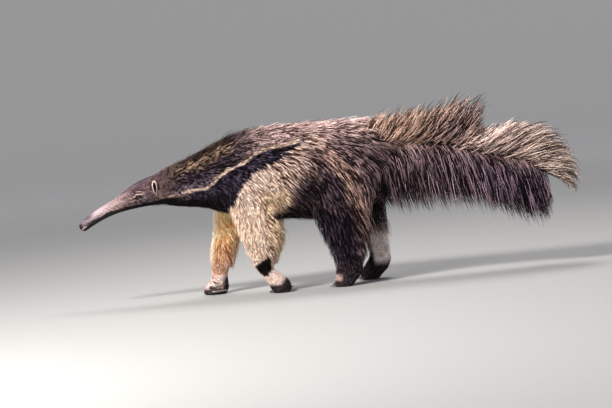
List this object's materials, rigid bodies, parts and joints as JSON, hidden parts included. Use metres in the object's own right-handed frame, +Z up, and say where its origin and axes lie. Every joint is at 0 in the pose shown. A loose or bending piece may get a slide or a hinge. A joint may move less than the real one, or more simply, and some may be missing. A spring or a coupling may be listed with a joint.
{
  "type": "giant anteater figure",
  "caption": "Life-size standing figure of a giant anteater in mid stride, with long tapered snout, striped shoulder and a deep bushy tail.",
  "frame": {"origin": "centre of the model's box at floor level, under the soles", "axes": "+X towards the tail, -X towards the snout, -Y towards the animal's left side, +Z up"},
  "size_m": [1.9542, 0.36, 0.7003],
  "materials": {
    "back_fur": "long coarse fur",
    "claw": "smooth horn",
    "eye": "wet gloss",
    "foreleg_fur": "pale coarse fur",
    "head_fur": "short, close fur",
    "hindleg_fur": "dark coarse fur",
    "neck_fur": "coarse fur",
    "snout_fur": "short, close fur",
    "tail_fur": "very long coarse hair"
  },
  "bodies": {
    "root": {"ear_left": "head_fur", "ear_right": "head_fur", "eye_left": "eye", "eye_right": "eye", "foreclaw_left_1": "claw", "foreclaw_left_2": "claw", "foreclaw_left_3": "claw", "foreclaw_left_4": "claw", "foreclaw_right_1": "claw", "foreclaw_right_2": "claw", "foreclaw_right_3": "claw", "foreclaw_right_4": "claw", "foreleg_left": "foreleg_fur", "foreleg_right": "foreleg_fur", "forepaw_left": "foreleg_fur", "forepaw_right": "foreleg_fur", "head": "head_fur", "hindclaw_left_1": "claw", "hindclaw_left_2": "claw", "hindclaw_left_3": "claw", "hindclaw_left_4": "claw", "hindclaw_left_5": "claw", "hindclaw_right_1": "claw", "hindclaw_right_2": "claw", "hindclaw_right_3": "claw", "hindclaw_right_4": "claw", "hindclaw_right_5": "claw", "hindleg_left": "hindleg_fur", "hindleg_right": "hindleg_fur", "hindpaw_left": "hindleg_fur", "hindpaw_right": "hindleg_fur", "neck": "neck_fur", "snout": "snout_fur", "tail": "tail_fur", "torso": "back_fur"}
  },
  "joints": []
}
